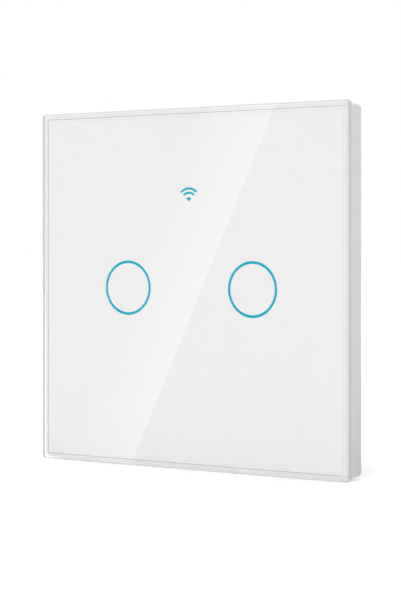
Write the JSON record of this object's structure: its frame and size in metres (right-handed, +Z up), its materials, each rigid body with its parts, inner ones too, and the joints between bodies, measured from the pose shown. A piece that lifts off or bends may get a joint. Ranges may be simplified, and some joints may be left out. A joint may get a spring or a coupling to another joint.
{
  "type": "touch light switch",
  "caption": "Square glass touch light switch with ring-marked touch zones, removable front panel, relays and screw terminals in a wall-box housing.",
  "frame": {"origin": "middle of the wall plane, between the two wall screws", "axes": "+Z up, -Y out of the wall towards the user, +X to the user's right"},
  "size_m": [0.086, 0.0336, 0.086],
  "materials": {
    "clear_glass": "polished, ground edges",
    "white_ink": "screen-printed, smooth",
    "cyan_film": "translucent filter film",
    "grey_tape": "double-sided acrylic tape",
    "frame_plastic": "moulded, satin",
    "plate_plastic": "moulded, matt",
    "housing_plastic": "moulded, fine spark-eroded texture",
    "white_board": "white solder resist",
    "green_board": "green solder resist",
    "radio_resist": "dark blue solder resist",
    "zinc_screw": "zinc plated",
    "foam": "conductive foam",
    "diffuser": "frosted, translucent",
    "shroud_rubber": "moulded",
    "led_package": "clear lens over phosphor",
    "chip_epoxy": "moulded epoxy",
    "ceramic_part": "sintered",
    "tinned_can": "pressed tinplate",
    "connector_plastic": "moulded nylon",
    "ferrite": "sintered, ground",
    "winding_tape": "polyester tape",
    "can_sleeve": "shrunk sleeve",
    "film_box": "potted box",
    "varistor_coat": "dipped epoxy",
    "fuse_cap": "moulded",
    "choke_sleeve": "shrunk sleeve",
    "terminal_plastic": "moulded polyamide",
    "brass": "stamped, plain",
    "clamp_steel": "stamped, zinc plated",
    "relay_plastic": "moulded",
    "relay_foot": "moulded",
    "soft_iron": "nickel plated",
    "copper_wire": "enamelled copper, wound"
  },
  "bodies": {
    "base": {"choke": "choke_sleeve", "converter_chip": "chip_epoxy", "film_capacitor": "film_box", "fuse": "fuse_cap", "header_socket": "connector_plastic", "housing_screws": "zinc_screw", "light_guide_left": "diffuser", "light_guide_right": "diffuser", "mains_capacitor": "can_sleeve", "mounting_plate": "plate_plastic", "output_capacitor": "can_sleeve", "pin_header": "connector_plastic", "power_board": "green_board", "radio_board": "radio_resist", "radio_shield": "tinned_can", "rear_housing": "housing_plastic", "rectifier": "chip_epoxy", "relay_1_base": "relay_foot", "relay_1_coil": "copper_wire", "relay_1_contacts": "brass", "relay_1_cover": "relay_plastic", "relay_1_yoke": "soft_iron", "relay_2_base": "relay_foot", "relay_2_coil": "copper_wire", "relay_2_contacts": "brass", "relay_2_cover": "relay_plastic", "relay_2_yoke": "soft_iron", "ring_leds": "led_package", "signal_led": "led_package", "signal_shroud": "shroud_rubber", "terminal_bars": "brass", "terminal_block": "terminal_plastic", "touch_board": "white_board", "touch_board_screws": "zinc_screw", "touch_chip": "chip_epoxy", "touch_pad_left": "foam", "touch_pad_right": "foam", "touch_passives": "ceramic_part", "transformer_core": "ferrite", "transformer_winding": "winding_tape", "varistor": "varistor_coat"},
    "front_panel": {"glass_panel": "clear_glass", "glass_print": "white_ink", "ring_filter_left": "cyan_film", "ring_filter_right": "cyan_film", "signal_filter": "cyan_film", "adhesive_tape": "grey_tape", "panel_frame": "frame_plastic"},
    "terminal_screw_1": {"terminal_screw_1": "zinc_screw"},
    "terminal_clamp_1": {"terminal_clamp_1": "clamp_steel"},
    "terminal_screw_2": {"terminal_screw_2": "zinc_screw"},
    "terminal_clamp_2": {"terminal_clamp_2": "clamp_steel"},
    "terminal_screw_3": {"terminal_screw_3": "zinc_screw"},
    "terminal_clamp_3": {"terminal_clamp_3": "clamp_steel"},
    "terminal_screw_4": {"terminal_screw_4": "zinc_screw"},
    "terminal_clamp_4": {"terminal_clamp_4": "clamp_steel"},
    "relay_1_armature": {"relay_1_armature": "soft_iron"},
    "relay_2_armature": {"relay_2_armature": "soft_iron"}
  },
  "joints": [
    {"name": "panel_release", "type": "slide", "parent": "base", "child": "front_panel", "axis": [0, -1, 0], "range_m": [0, 0.03]},
    {"name": "screw_1_turn", "type": "hinge", "parent": "base", "child": "terminal_screw_1", "pos_m": [-0.012, 0.0195, -0.0199], "axis": [0, -1, 0], "range_deg": [0, 1800]},
    {"name": "clamp_1_rise", "type": "slide", "parent": "base", "child": "terminal_clamp_1", "axis": [0, 1, 0], "range_m": [0, 0.0025]},
    {"name": "screw_2_turn", "type": "hinge", "parent": "base", "child": "terminal_screw_2", "pos_m": [-0.004, 0.0195, -0.0199], "axis": [0, -1, 0], "range_deg": [0, 1800]},
    {"name": "clamp_2_rise", "type": "slide", "parent": "base", "child": "terminal_clamp_2", "axis": [0, 1, 0], "range_m": [0, 0.0025]},
    {"name": "screw_3_turn", "type": "hinge", "parent": "base", "child": "terminal_screw_3", "pos_m": [0.004, 0.0195, -0.0199], "axis": [0, -1, 0], "range_deg": [0, 1800]},
    {"name": "clamp_3_rise", "type": "slide", "parent": "base", "child": "terminal_clamp_3", "axis": [0, 1, 0], "range_m": [0, 0.0025]},
    {"name": "screw_4_turn", "type": "hinge", "parent": "base", "child": "terminal_screw_4", "pos_m": [0.012, 0.0195, -0.0199], "axis": [0, -1, 0], "range_deg": [0, 1800]},
    {"name": "clamp_4_rise", "type": "slide", "parent": "base", "child": "terminal_clamp_4", "axis": [0, 1, 0], "range_m": [0, 0.0025]},
    {"name": "relay_1_pull", "type": "hinge", "parent": "base", "child": "relay_1_armature", "pos_m": [-0.01125, 0.0197, -0.0092], "axis": [0, 0, 1], "range_deg": [0, 4.3], "stiffness_Nm_per_rad": 0.015},
    {"name": "relay_2_pull", "type": "hinge", "parent": "base", "child": "relay_2_armature", "pos_m": [0.01075, 0.0197, -0.0092], "axis": [0, 0, 1], "range_deg": [0, 4.3], "stiffness_Nm_per_rad": 0.015}
  ],
  "couplings": [
    {"joint": "screw_1_turn", "follows": "clamp_1_rise", "rad_per_m": 12566},
    {"joint": "screw_2_turn", "follows": "clamp_2_rise", "rad_per_m": 12566},
    {"joint": "screw_3_turn", "follows": "clamp_3_rise", "rad_per_m": 12566},
    {"joint": "screw_4_turn", "follows": "clamp_4_rise", "rad_per_m": 12566}
  ]
}
